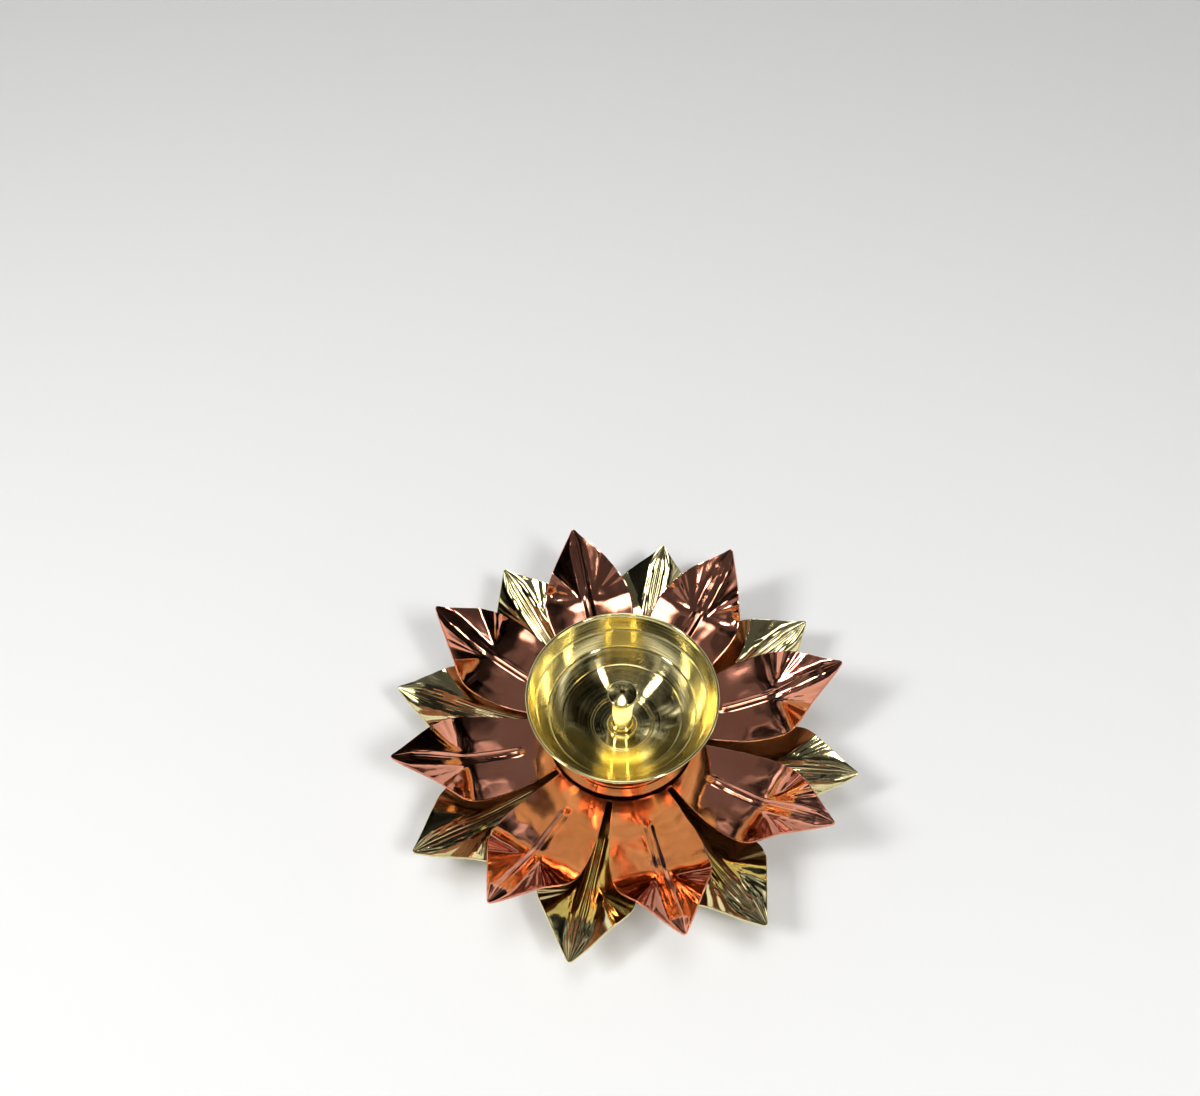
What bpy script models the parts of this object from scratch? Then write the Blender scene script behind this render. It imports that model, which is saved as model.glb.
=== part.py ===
# A lotus diya: a turned brass oil bowl with a wick post, over two stamped petal flowers on one axle.
# The copper flower and the brass flower below it each turn freely about the axle. Metres, +Z up.

import math
from dataclasses import dataclass

import bmesh
import bpy
import numpy as np
from mathutils import Matrix

COLLECTION = "lotus_diya"

# Fits
GAP = 0.0003                      # between pieces that rest on each other
RUNNING_GAP = 0.0003              # round the axle, in every hole that it passes

# Foot
FOOT_RADIUS = 0.0300
FOOT_HEIGHT = 0.0086
FOOT_WALL = 0.0015
FOOT_RIM_WIDTH = 0.0032           # flat ring that meets the table
FOOT_RIM_HEIGHT = 0.0014
FOOT_TABLE_RADIUS = 0.0150        # top plate under the brass flower
FOOT_NECK_RADIUS = 0.0128

# Sheet flowers, both cut and stamped alike
PETAL_COUNT = 8
SHEET = 0.0006
SLOT_WIDTH = 0.0035               # between two petals, at the root
PETAL_ROOT = 0.0268               # the slots' square inner ends
PETAL_HALF_WIDTH = 0.0160
PETAL_TIP_HALF_WIDTH = 0.0004
SHOULDER_ROUND = 0.29             # share of the outer petal that the shoulder's curve takes
FIRST_BEND = 0.0400               # along the sheet, from the axle
SECOND_BEND = 0.0547
FIRST_BEND_LENGTH = 0.0080
SECOND_BEND_LENGTH = 0.0065

COPPER_REACH = 0.0815             # along the sheet, from the axle to a petal's tip
COPPER_SHOULDER = 0.0527          # where the petal is widest
COPPER_FIRST_LIFT = math.radians(9.6)
COPPER_SECOND_LIFT = math.radians(20.0)
COPPER_TURN = math.radians(14.5)  # how the flower is left turned

BRASS_REACH = 0.0824
BRASS_SHOULDER = 0.0575
BRASS_FIRST_LIFT = math.radians(8.0)
BRASS_SECOND_LIFT = math.radians(7.8)
BRASS_TURN = math.radians(-10.7)

# Stamped relief of one petal
RIB_START = 0.0340                # along the sheet, from the axle
RIB_NOSE = 0.0026                 # length over which the rib rises
RIB_HEIGHT = 0.0005
RIB_OUTER_HEIGHT = 0.0008
RIB_HALF_WIDTH = 0.0015
RIB_OUTER_HALF_WIDTH = 0.0025     # the rib widens and rises past the cross bend
RIB_WIDENS = 0.0500
RIB_WIDENED = 0.0700
RIB_TOP_SHARE = 0.2               # flat top and foot, as shares of the half width
RIB_FOOT_SHARE = 1.35
BRASS_RIB_SCALE = 1.5             # the brass petals' ribs are broad bundles of flutes
CHEEK_CENTRE = 0.0480
CHEEK_LENGTH = 0.0080
CHEEK_DEPTH = 0.0003
FOLD_START = 0.0556               # past it each half of a petal folds up towards its edge
FOLD_LAG = 0.0018                 # how much later the fold starts at the edge
FOLD_ROUND = 0.0018
FOLD_EDGE_ROUND = 0.0026          # added to the fold's rounding at the edge
FOLD_SLOPE = 0.42
TROUGH_ASIDE = 0.0023             # the fold falls to a trough beside the rib
TROUGH_ROUND = 0.0010
TROUGH_SLOPE = 0.44
CREASE_SHARPNESS = 4
EDGE_CURL = 0.0005
EDGE_CURL_LENGTH = 0.0280

# Spacer between the flowers
SPACER_HEIGHT = 0.0079
SPACER_FLANGE_RADIUS = 0.0125
SPACER_WAIST_RADIUS = 0.0085
SPACER_FLANGE = 0.0014

# Copper saucer under the bowl
SAUCER_SHEET = 0.0006
SAUCER_SEAT_MARGIN = 0.0100       # flat ring round the bowl's pad
SAUCER_BEAD_RISE = 0.0016
SAUCER_BEAD_WIDTH = 0.0040
SAUCER_EDGE_WIDTH = 0.0022
SAUCER_EDGE_DROP = 0.0005

# Oil bowl
BOWL_RIM_RADIUS = 0.0320
BOWL_DEPTH = 0.0220
BOWL_WALL = 0.0010
BOWL_FLOOR = 0.0022
BOWL_PAD_RADIUS = 0.0095
BOWL_LIP_ROUND = 0.0003

# Wick post, in one piece with the axle below it
AXLE_RADIUS = 0.0025
AXLE_CHAMFER = 0.0005
AXLE_BELOW_NUT = 0.0006
STEM_RADIUS = 0.00335
STEM_HEIGHT = 0.0195
STEM_BASE_RADIUS = 0.00375
STEM_BASE_HEIGHT = 0.0012
CAP_RADIUS = 0.0049
CAP_EDGE = 0.0010
CAP_CONE = 0.0011
WICK_BORE_RADIUS = 0.00085
WICK_BORE_DEPTH = 0.0120
POST_COLLAR_RADIUS = 0.00515
POST_COLLAR_HEIGHT = 0.0009
POST_COLLAR_BEVEL = 0.00027

# Clamping washer and nut under the foot plate
WASHER_RADIUS = 0.0050
WASHER_HEIGHT = 0.0010
NUT_ACROSS_FLATS = 0.0080
NUT_HEIGHT = 0.0040
NUT_CHAMFER = 0.0003

# Mesh fineness
BOWL_SEGMENTS = 48
SMALL_SEGMENTS = 28
BOWL_RINGS = 9
PETAL_COLUMN_COUNT = 8
COLUMN_CROWDING = 1.45            # above 1 crowds the columns towards the midrib
ROOT_ROW_COUNT = 2                # rows up to the rib's nose, the fold, past it and to the tip
CHEEK_ROW_COUNT = 3
FOLD_ROW_COUNT = 3
TIP_ROW_COUNT = 4
FOLD_ROWS_BEFORE = 0.0026         # the close rows' reach on either side of the fold's start
FOLD_ROWS_PAST = 0.0050
WELD = 0.000002
SPINE_STEPS = 400

# Heights of the stack, each piece resting on the one below
BRASS_DISC_TOP = FOOT_HEIGHT + GAP + SHEET
SPACER_BOTTOM = BRASS_DISC_TOP + GAP
COPPER_DISC_TOP = SPACER_BOTTOM + SPACER_HEIGHT + GAP + SHEET
SAUCER_BOTTOM = COPPER_DISC_TOP + GAP
BOWL_BOTTOM = SAUCER_BOTTOM + SAUCER_SHEET + GAP
BOWL_FLOOR_TOP = BOWL_BOTTOM + BOWL_FLOOR
BOWL_RIM_TOP = BOWL_FLOOR_TOP + BOWL_DEPTH
COLLAR_BOTTOM = BOWL_FLOOR_TOP + GAP
POST_BOTTOM = COLLAR_BOTTOM + POST_COLLAR_HEIGHT + GAP
WASHER_BOTTOM = FOOT_HEIGHT - FOOT_WALL - GAP - WASHER_HEIGHT
NUT_BOTTOM = WASHER_BOTTOM - GAP - NUT_HEIGHT
AXLE_BOTTOM = NUT_BOTTOM - AXLE_BELOW_NUT
HOLE_RADIUS = AXLE_RADIUS + RUNNING_GAP

# Colour, metallic and roughness of each finish
FINISHES = {
    "yellow_brass": ((0.80, 0.66, 0.24, 1.0), 1.0, 0.22),
    "pale_brass": ((0.77, 0.71, 0.42, 1.0), 1.0, 0.14),
    "copper": ((0.74, 0.38, 0.27, 1.0), 1.0, 0.14),
    "zinc_steel": ((0.62, 0.62, 0.60, 1.0), 1.0, 0.35),
}


def clear_scene():
    for old in list(bpy.data.objects):
        bpy.data.objects.remove(old, do_unlink=True)


def named_collection(name):
    collection = bpy.data.collections.new(name)
    bpy.context.scene.collection.children.link(collection)
    return collection


def finish_material(piece_name, finish):
    colour, metallic, roughness = FINISHES[finish]
    material = bpy.data.materials.new(f"{piece_name}_{finish}")
    material.use_nodes = True
    shader = material.node_tree.nodes["Principled BSDF"]
    shader.inputs["Base Color"].default_value = colour
    shader.inputs["Metallic"].default_value = metallic
    shader.inputs["Roughness"].default_value = roughness
    material.diffuse_color = colour
    return material


def add_piece(name, shape, finish, collection):
    mesh = bpy.data.meshes.new(name)
    shape.to_mesh(mesh)
    shape.free()
    piece = bpy.data.objects.new(name, mesh)
    mesh.materials.append(finish_material(name, finish))
    collection.objects.link(piece)
    return piece


def turned_piece(name, profile, finish, collection, segments, closed=True):
    """A profile of (radius, height) points that runs down its outer side, turned about Z."""
    shape = bmesh.new()
    points = [shape.verts.new((radius, 0.0, height)) for radius, height in profile]
    for first, second in zip(points, points[1:]):
        shape.edges.new((first, second))
    if closed:
        shape.edges.new((points[-1], points[0]))
    piece = add_piece(name, shape, finish, collection)
    turning = piece.modifiers.new("turning", "SCREW")
    turning.axis = "Z"
    turning.angle = math.tau
    turning.steps = segments
    turning.render_steps = segments
    turning.use_merge_vertices = True
    turning.merge_threshold = WELD
    turning.use_smooth_shade = True
    return piece


@dataclass(frozen=True)
class SheetFlower:
    name: str
    finish: str
    disc_top: float
    first_lift: float
    second_lift: float
    reach: float
    shoulder: float
    turn: float
    rib_scale: float


def soft_ramp(value, corner):
    """0 below 0 and the value itself above it, with a rounded corner."""
    return 0.5 * (value + math.sqrt(value * value + corner * corner))


def smooth_step(value):
    """Rises from 0 to 1 as value goes from 0 to 1, with level ends."""
    share = np.clip(value, 0.0, 1.0)
    return share * share * (3.0 - 2.0 * share)


def build_foot(collection):
    rim_inner = FOOT_RADIUS - FOOT_RIM_WIDTH
    plate_underside = FOOT_HEIGHT - FOOT_WALL
    neck_height = plate_underside - FOOT_WALL
    skirt_top = neck_height - FOOT_WALL
    profile = [
        (FOOT_TABLE_RADIUS, FOOT_HEIGHT),
        (FOOT_TABLE_RADIUS, plate_underside),
        (FOOT_NECK_RADIUS + FOOT_WALL, neck_height),
        (rim_inner - FOOT_WALL, FOOT_RIM_HEIGHT + FOOT_WALL),
        (FOOT_RADIUS - GAP, FOOT_RIM_HEIGHT),
        (FOOT_RADIUS, FOOT_RIM_HEIGHT - GAP),
        (FOOT_RADIUS, 0.0),
        (rim_inner, 0.0),
        (rim_inner - FOOT_WALL, FOOT_RIM_HEIGHT - GAP),
        (FOOT_NECK_RADIUS, skirt_top),
        (FOOT_NECK_RADIUS - FOOT_WALL, plate_underside),
        (HOLE_RADIUS, plate_underside),
        (HOLE_RADIUS, FOOT_HEIGHT),
    ]
    return turned_piece("foot", profile, "yellow_brass", collection, BOWL_SEGMENTS)


def build_spacer(collection):
    top = SPACER_BOTTOM + SPACER_HEIGHT
    profile = [
        (SPACER_FLANGE_RADIUS, top),
        (SPACER_FLANGE_RADIUS, top - SPACER_FLANGE),
        (SPACER_WAIST_RADIUS, top - 2.0 * SPACER_FLANGE),
        (SPACER_WAIST_RADIUS, SPACER_BOTTOM + 2.0 * SPACER_FLANGE),
        (SPACER_FLANGE_RADIUS, SPACER_BOTTOM + SPACER_FLANGE),
        (SPACER_FLANGE_RADIUS, SPACER_BOTTOM),
        (HOLE_RADIUS, SPACER_BOTTOM),
        (HOLE_RADIUS, top),
    ]
    return turned_piece("flower_spacer", profile, "yellow_brass", collection, SMALL_SEGMENTS)


def build_saucer(collection):
    flat = BOWL_PAD_RADIUS + SAUCER_SEAT_MARGIN
    bead_top = SAUCER_BOTTOM + SAUCER_BEAD_RISE
    edge = bead_top - SAUCER_EDGE_DROP
    centre_line = [
        (flat, SAUCER_BOTTOM),
        (flat + 0.30 * SAUCER_BEAD_WIDTH, SAUCER_BOTTOM + 0.30 * SAUCER_BEAD_RISE),
        (flat + 0.55 * SAUCER_BEAD_WIDTH, SAUCER_BOTTOM + 0.85 * SAUCER_BEAD_RISE),
        (flat + 0.80 * SAUCER_BEAD_WIDTH, bead_top),
        (flat + SAUCER_BEAD_WIDTH, bead_top - 0.5 * SAUCER_EDGE_DROP),
        (flat + SAUCER_BEAD_WIDTH + SAUCER_EDGE_WIDTH, edge),
    ]
    upper = [(radius, height + SAUCER_SHEET) for radius, height in centre_line]
    profile = [(HOLE_RADIUS, SAUCER_BOTTOM + SAUCER_SHEET)]
    profile += upper
    profile += list(reversed(centre_line))
    profile.append((HOLE_RADIUS, SAUCER_BOTTOM))
    return turned_piece("bowl_saucer", profile, "copper", collection, BOWL_SEGMENTS)


def sphere_arc(sphere_radius, centre_height, from_radius, to_radius, count):
    """Points on the lower half of a sphere on the axis, evenly spaced by angle."""
    start = math.asin(from_radius / sphere_radius)
    stop = math.asin(to_radius / sphere_radius)
    angles = [start + (stop - start) * index / count for index in range(count + 1)]
    return [
        (sphere_radius * math.sin(angle), centre_height - sphere_radius * math.cos(angle))
        for angle in angles
    ]


def build_bowl(collection):
    inner_rim = BOWL_RIM_RADIUS - BOWL_WALL
    inner_sphere = (inner_rim ** 2 + BOWL_DEPTH ** 2) / (2.0 * BOWL_DEPTH)
    centre = BOWL_FLOOR_TOP + inner_sphere
    outer_sphere = inner_sphere + BOWL_WALL
    floor_flat = POST_COLLAR_RADIUS + GAP
    outer = sphere_arc(outer_sphere, centre, BOWL_PAD_RADIUS, BOWL_RIM_RADIUS, BOWL_RINGS)
    inner = sphere_arc(inner_sphere, centre, floor_flat, inner_rim, BOWL_RINGS)
    outer[-1] = (BOWL_RIM_RADIUS, BOWL_RIM_TOP - BOWL_LIP_ROUND)
    inner[0] = (floor_flat, BOWL_FLOOR_TOP)
    inner[-1] = (inner_rim, BOWL_RIM_TOP - BOWL_LIP_ROUND)
    profile = [(BOWL_RIM_RADIUS - BOWL_LIP_ROUND, BOWL_RIM_TOP)]
    profile += list(reversed(outer))
    profile += [
        (BOWL_PAD_RADIUS, BOWL_BOTTOM),
        (HOLE_RADIUS, BOWL_BOTTOM),
        (HOLE_RADIUS, BOWL_FLOOR_TOP),
    ]
    profile += inner
    profile.append((inner_rim + BOWL_LIP_ROUND, BOWL_RIM_TOP))
    return turned_piece("oil_bowl", profile, "yellow_brass", collection, BOWL_SEGMENTS)


def build_post_collar(collection):
    top = COLLAR_BOTTOM + POST_COLLAR_HEIGHT
    profile = [
        (POST_COLLAR_RADIUS - POST_COLLAR_BEVEL, top),
        (POST_COLLAR_RADIUS, top - POST_COLLAR_BEVEL),
        (POST_COLLAR_RADIUS, COLLAR_BOTTOM),
        (HOLE_RADIUS, COLLAR_BOTTOM),
        (HOLE_RADIUS, top),
    ]
    return turned_piece("post_collar", profile, "yellow_brass", collection, SMALL_SEGMENTS)


def build_wick_post(collection):
    stem_top = POST_BOTTOM + STEM_HEIGHT
    cap_top = stem_top + CAP_EDGE
    bore_rim = cap_top + CAP_CONE
    bore_bottom = bore_rim - WICK_BORE_DEPTH
    profile = [
        (0.0, bore_bottom),
        (WICK_BORE_RADIUS, bore_bottom),
        (WICK_BORE_RADIUS, bore_rim),
        (CAP_RADIUS, cap_top),
        (CAP_RADIUS, stem_top),
        (STEM_RADIUS, stem_top),
        (STEM_RADIUS, POST_BOTTOM + STEM_BASE_HEIGHT),
        (STEM_BASE_RADIUS, POST_BOTTOM + 0.5 * STEM_BASE_HEIGHT),
        (STEM_BASE_RADIUS, POST_BOTTOM),
        (AXLE_RADIUS, POST_BOTTOM),
        (AXLE_RADIUS, AXLE_BOTTOM + AXLE_CHAMFER),
        (AXLE_RADIUS - AXLE_CHAMFER, AXLE_BOTTOM),
        (0.0, AXLE_BOTTOM),
    ]
    return turned_piece(
        "wick_post", profile, "yellow_brass", collection, SMALL_SEGMENTS, closed=False
    )


def build_washer(collection):
    top = WASHER_BOTTOM + WASHER_HEIGHT
    profile = [
        (WASHER_RADIUS, top),
        (WASHER_RADIUS, WASHER_BOTTOM),
        (HOLE_RADIUS, WASHER_BOTTOM),
        (HOLE_RADIUS, top),
    ]
    return turned_piece("clamp_washer", profile, "zinc_steel", collection, SMALL_SEGMENTS)


def build_nut(collection, cutters):
    corner_radius = 0.5 * NUT_ACROSS_FLATS / math.cos(math.pi / 6.0)
    shape = bmesh.new()
    bmesh.ops.create_cone(
        shape,
        cap_ends=True,
        segments=6,
        radius1=corner_radius,
        radius2=corner_radius,
        depth=NUT_HEIGHT,
    )
    nut = add_piece("clamp_nut", shape, "zinc_steel", collection)
    nut.location.z = NUT_BOTTOM + 0.5 * NUT_HEIGHT
    chamfer = nut.modifiers.new("chamfer", "BEVEL")
    chamfer.width = NUT_CHAMFER
    chamfer.segments = 1
    chamfer.limit_method = "ANGLE"
    chamfer.angle_limit = math.radians(70.0)

    bore_shape = bmesh.new()
    bmesh.ops.create_cone(
        bore_shape,
        cap_ends=True,
        segments=SMALL_SEGMENTS,
        radius1=HOLE_RADIUS,
        radius2=HOLE_RADIUS,
        depth=2.0 * NUT_HEIGHT,
    )
    bore = add_piece("nut_bore", bore_shape, "zinc_steel", cutters)
    bore.location.z = nut.location.z
    bore.display_type = "WIRE"
    bore.hide_render = True
    boring = nut.modifiers.new("bore", "BOOLEAN")
    boring.operation = "DIFFERENCE"
    boring.solver = "EXACT"
    boring.object = bore
    return nut


def spine_of(flower):
    """Radius and height along a petal's midline, by distance along the bent sheet."""
    along = np.linspace(0.0, flower.reach, SPINE_STEPS)
    first = smooth_step((along - FIRST_BEND) / FIRST_BEND_LENGTH + 0.5)
    second = smooth_step((along - SECOND_BEND) / SECOND_BEND_LENGTH + 0.5)
    slope = flower.first_lift * first + flower.second_lift * second
    step = flower.reach / (SPINE_STEPS - 1)
    radius = np.concatenate(([0.0], np.cumsum(np.cos(slope[1:]) * step)))
    height = np.concatenate(([0.0], np.cumsum(np.sin(slope[1:]) * step)))
    return along, radius, flower.disc_top + height


def half_width(flower, along):
    """Half the petal's width: a slotted root, a rounded shoulder and straight sides to the tip."""
    sector = math.pi / PETAL_COUNT
    root = PETAL_ROOT * math.tan(sector) - 0.5 * SLOT_WIDTH / math.cos(sector)
    if along <= flower.shoulder:
        share = (along - PETAL_ROOT) / (flower.shoulder - PETAL_ROOT)
        return root + (PETAL_HALF_WIDTH - root) * math.sin(0.5 * math.pi * share)
    share = (along - flower.shoulder) / (flower.reach - flower.shoulder)
    fall = 1.0 / (1.0 - 0.5 * SHOULDER_ROUND)
    if share < SHOULDER_ROUND:
        narrowing = 1.0 - fall * share ** 2 / (2.0 * SHOULDER_ROUND)
    else:
        narrowing = fall * (1.0 - share)
    return PETAL_TIP_HALF_WIDTH + (PETAL_HALF_WIDTH - PETAL_TIP_HALF_WIDTH) * narrowing


def rib_relief(flower, along, aside, edge):
    """A raised band along the midline, with a rounded nose, that fades out in the narrow tip."""
    widened = smooth_step((along - RIB_WIDENS) / (RIB_WIDENED - RIB_WIDENS))
    half_rib = RIB_HALF_WIDTH + (RIB_OUTER_HALF_WIDTH - RIB_HALF_WIDTH) * widened
    half_rib = min(flower.rib_scale * half_rib, 0.5 * edge)
    top = RIB_HEIGHT + (RIB_OUTER_HEIGHT - RIB_HEIGHT) * widened
    nose = smooth_step((along - RIB_START) / RIB_NOSE)
    fall = (abs(aside) / half_rib - RIB_TOP_SHARE) / (RIB_FOOT_SHARE - RIB_TOP_SHARE)
    narrow = min(1.0, edge / (2.0 * RIB_OUTER_HALF_WIDTH))
    return narrow * top * nose * (1.0 - smooth_step(fall))


def pocket_relief(flower, along, aside, edge):
    """The lower of the fold and the trough's side, which meet in a crease from beside the rib."""
    share = abs(aside) / edge
    bend = FOLD_ROUND + FOLD_EDGE_ROUND * share
    fold = FOLD_SLOPE * soft_ramp(along - FOLD_START - FOLD_LAG * share, bend)
    trough = TROUGH_SLOPE * soft_ramp(abs(aside) - flower.rib_scale * TROUGH_ASIDE, TROUGH_ROUND)
    return (fold ** -CREASE_SHARPNESS + trough ** -CREASE_SHARPNESS) ** (-1.0 / CREASE_SHARPNESS)


def petal_relief(flower, along, aside, edge):
    """Height that the stamp adds: rib, slightly dished cheeks, pockets and curled edges."""
    share = abs(aside) / edge
    dish_place = math.exp(-(((along - CHEEK_CENTRE) / CHEEK_LENGTH) ** 2))
    dish = CHEEK_DEPTH * dish_place * math.sin(math.pi * share) ** 2
    curl_rise = smooth_step((along - PETAL_ROOT) / EDGE_CURL_LENGTH)
    curl = EDGE_CURL * curl_rise * share ** 4 * edge / PETAL_HALF_WIDTH
    pocket = pocket_relief(flower, along, aside, edge)
    return rib_relief(flower, along, aside, edge) - dish + pocket + curl


def row_places(flower):
    """Distances along the petal of the grid's rows, closest round the fold."""
    runs = [
        (RIB_START + RIB_NOSE, ROOT_ROW_COUNT),
        (FOLD_START - FOLD_ROWS_BEFORE, CHEEK_ROW_COUNT),
        (FOLD_START + FOLD_ROWS_PAST, FOLD_ROW_COUNT),
        (flower.reach, TIP_ROW_COUNT),
    ]
    places = [PETAL_ROOT]
    for stop, count in runs:
        start = places[-1]
        places += [start + (stop - start) * (step + 1) / count for step in range(count)]
    return places


def build_flower(flower, collection):
    """One sheet blank with its petals: a flat grid wrapped round the axle, slotted and bent."""
    petal_stride = PETAL_COLUMN_COUNT + 1
    columns = PETAL_COUNT * petal_stride
    disc_radii = [HOLE_RADIUS, 0.5 * (HOLE_RADIUS + PETAL_ROOT), PETAL_ROOT]
    root_row = len(disc_radii) - 1
    places = row_places(flower)
    rows = root_row + len(places) - 1
    shape = bmesh.new()
    bmesh.ops.create_grid(shape, x_segments=columns, y_segments=rows, size=0.5)

    slot_faces = []
    for face in shape.faces:
        middle = face.calc_center_median()
        column = int((middle.x + 0.5) * columns)
        row = int((middle.y + 0.5) * rows)
        if row >= root_row and column % petal_stride == PETAL_COLUMN_COUNT:
            slot_faces.append(face)
    bmesh.ops.delete(shape, geom=slot_faces, context="FACES")

    along_table, radius_table, height_table = spine_of(flower)
    root_edge = half_width(flower, PETAL_ROOT)
    sector = math.tau / PETAL_COUNT
    for vert in shape.verts:
        column = round((vert.co.x + 0.5) * columns)
        row = round((vert.co.y + 0.5) * rows)
        petal, place = divmod(column, petal_stride)
        across = 2.0 * place / PETAL_COLUMN_COUNT - 1.0
        across = math.copysign(abs(across) ** COLUMN_CROWDING, across)
        if row <= root_row:
            swing = math.asin(across * root_edge / PETAL_ROOT)
            forward = disc_radii[row] * math.cos(swing)
            aside = disc_radii[row] * math.sin(swing)
            height = flower.disc_top
        else:
            along = places[row - root_row]
            edge = half_width(flower, along)
            aside = across * edge
            # the slotted root is round, and the sheet's rows straighten out before the rib's nose
            root_sag = PETAL_ROOT - math.sqrt(PETAL_ROOT ** 2 - (across * root_edge) ** 2)
            straightened = (along - PETAL_ROOT) / (RIB_START + RIB_NOSE - PETAL_ROOT)
            forward = float(np.interp(along, along_table, radius_table))
            forward -= root_sag * max(0.0, 1.0 - straightened)
            height = float(np.interp(along, along_table, height_table))
            height += petal_relief(flower, along, aside, edge)
        angle = math.pi / 2.0 + flower.turn + petal * sector
        vert.co.x = forward * math.cos(angle) - aside * math.sin(angle)
        vert.co.y = forward * math.sin(angle) + aside * math.cos(angle)
        vert.co.z = height
    bmesh.ops.remove_doubles(shape, verts=shape.verts, dist=WELD)
    bmesh.ops.recalc_face_normals(shape, faces=shape.faces)
    middle_face = min(shape.faces, key=lambda face: face.calc_center_median().length)
    if middle_face.normal.z < 0.0:
        bmesh.ops.reverse_faces(shape, faces=shape.faces)

    piece = add_piece(flower.name, shape, flower.finish, collection)
    piece.data.shade_smooth()
    thickness = piece.modifiers.new("sheet", "SOLIDIFY")
    thickness.thickness = SHEET
    thickness.offset = -1.0
    return piece


def carry_on(body, pieces):
    """Parents pieces to an empty on the axle, the axis that they turn about."""
    for piece in pieces:
        piece.parent = body
        piece.matrix_parent_inverse = Matrix.Identity(4)


def add_turning_centre(name, collection):
    empty = bpy.data.objects.new(name, None)
    empty.empty_display_size = PETAL_ROOT
    collection.objects.link(empty)
    return empty


def main():
    clear_scene()
    parts = named_collection(COLLECTION)
    cutters = named_collection("cutters")

    fixed = [
        build_foot(parts),
        build_spacer(parts),
        build_saucer(parts),
        build_bowl(parts),
        build_post_collar(parts),
        build_wick_post(parts),
        build_washer(parts),
        build_nut(parts, cutters),
    ]
    brass_flower = SheetFlower(
        name="brass_flower",
        finish="pale_brass",
        disc_top=BRASS_DISC_TOP,
        first_lift=BRASS_FIRST_LIFT,
        second_lift=BRASS_SECOND_LIFT,
        reach=BRASS_REACH,
        shoulder=BRASS_SHOULDER,
        turn=BRASS_TURN,
        rib_scale=BRASS_RIB_SCALE,
    )
    copper_flower = SheetFlower(
        name="copper_flower",
        finish="copper",
        disc_top=COPPER_DISC_TOP,
        first_lift=COPPER_FIRST_LIFT,
        second_lift=COPPER_SECOND_LIFT,
        reach=COPPER_REACH,
        shoulder=COPPER_SHOULDER,
        turn=COPPER_TURN,
        rib_scale=1.0,
    )
    carry_on(add_turning_centre("diya_base", parts), fixed)
    carry_on(add_turning_centre("brass_turn", parts), [build_flower(brass_flower, parts)])
    carry_on(add_turning_centre("copper_turn", parts), [build_flower(copper_flower, parts)])


main()
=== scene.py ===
import math

import bmesh
import bpy
import numpy as np
from mathutils import Matrix, Vector, noise


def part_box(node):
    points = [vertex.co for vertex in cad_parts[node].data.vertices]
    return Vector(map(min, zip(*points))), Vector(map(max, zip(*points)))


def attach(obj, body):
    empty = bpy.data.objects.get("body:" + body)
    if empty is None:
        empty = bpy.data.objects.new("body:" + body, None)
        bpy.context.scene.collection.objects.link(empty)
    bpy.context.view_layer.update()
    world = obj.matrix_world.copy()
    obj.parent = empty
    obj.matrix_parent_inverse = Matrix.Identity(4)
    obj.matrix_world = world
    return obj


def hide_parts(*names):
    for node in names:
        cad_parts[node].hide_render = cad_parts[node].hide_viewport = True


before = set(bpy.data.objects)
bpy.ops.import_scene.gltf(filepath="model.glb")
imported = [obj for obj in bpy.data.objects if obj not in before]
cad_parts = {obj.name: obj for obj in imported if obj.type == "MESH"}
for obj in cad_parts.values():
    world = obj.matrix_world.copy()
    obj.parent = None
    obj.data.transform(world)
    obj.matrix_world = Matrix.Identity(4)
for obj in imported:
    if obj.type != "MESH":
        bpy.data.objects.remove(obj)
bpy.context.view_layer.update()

# Lotus diya: brass bowl and wick post over a copper and a brass flower of stamped petals.
# Lengths in metres, angles in degrees, +Z up, the lamp's front towards -Y.

mm = 0.001
clean = 0.000002          # points closer than this are one point
sheetThick = 0.6 * mm


# Camera

lens = dict(
    width=1200,
    height=1096,
    focalPixels=1150.0,
    sensor=36.0,
    elevation=60.3,       # above the table
    distance=0.3813,      # from the middle of the bowl's rim
    pan=1.2273,           # how far the rim lies off the frame's middle
    tilt=-7.18,
    roll=-0.846,
)


def makeCamera():
    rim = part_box("oil_bowl")[1].z
    up = math.radians(lens["elevation"])
    backward = Vector((0.0, -math.cos(up), math.sin(up)))
    rightward = Vector((1.0, 0.0, 0.0))
    upward = Vector((0.0, math.sin(up), math.cos(up)))
    facing = Matrix((rightward, upward, backward)).transposed()
    pan, tilt, roll = (math.radians(lens[k]) for k in ("pan", "tilt", "roll"))
    panned = Matrix.Rotation(-pan, 3, "Y")
    tilted = Matrix.Rotation(tilt, 3, "X")
    rolled = Matrix.Rotation(roll, 3, "Z")
    data = bpy.data.cameras.new("camera")
    data.sensor_width = lens["sensor"]
    data.lens = lens["focalPixels"] * lens["sensor"] / lens["width"]
    data.clip_start = 0.01
    data.clip_end = 50.0
    camera = bpy.data.objects.new("camera", data)
    bpy.context.scene.collection.objects.link(camera)
    turned = facing @ (rolled @ panned @ tilted).transposed()
    placed = backward * lens["distance"] + Vector((0.0, 0.0, rim))
    camera.matrix_world = Matrix.Translation(placed) @ turned.to_4x4()
    bpy.context.scene.camera = camera


# Materials

def startMaterial(name):
    material = bpy.data.materials.new(name)
    material.use_nodes = True
    nodes = material.node_tree.nodes
    links = material.node_tree.links
    return material, nodes, links, nodes["Principled BSDF"]


def addNode(nodes, kind, **inputs):
    node = nodes.new(kind)
    for socket, value in inputs.items():
        node.inputs[socket.replace("_", " ")].default_value = value
    return node


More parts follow.
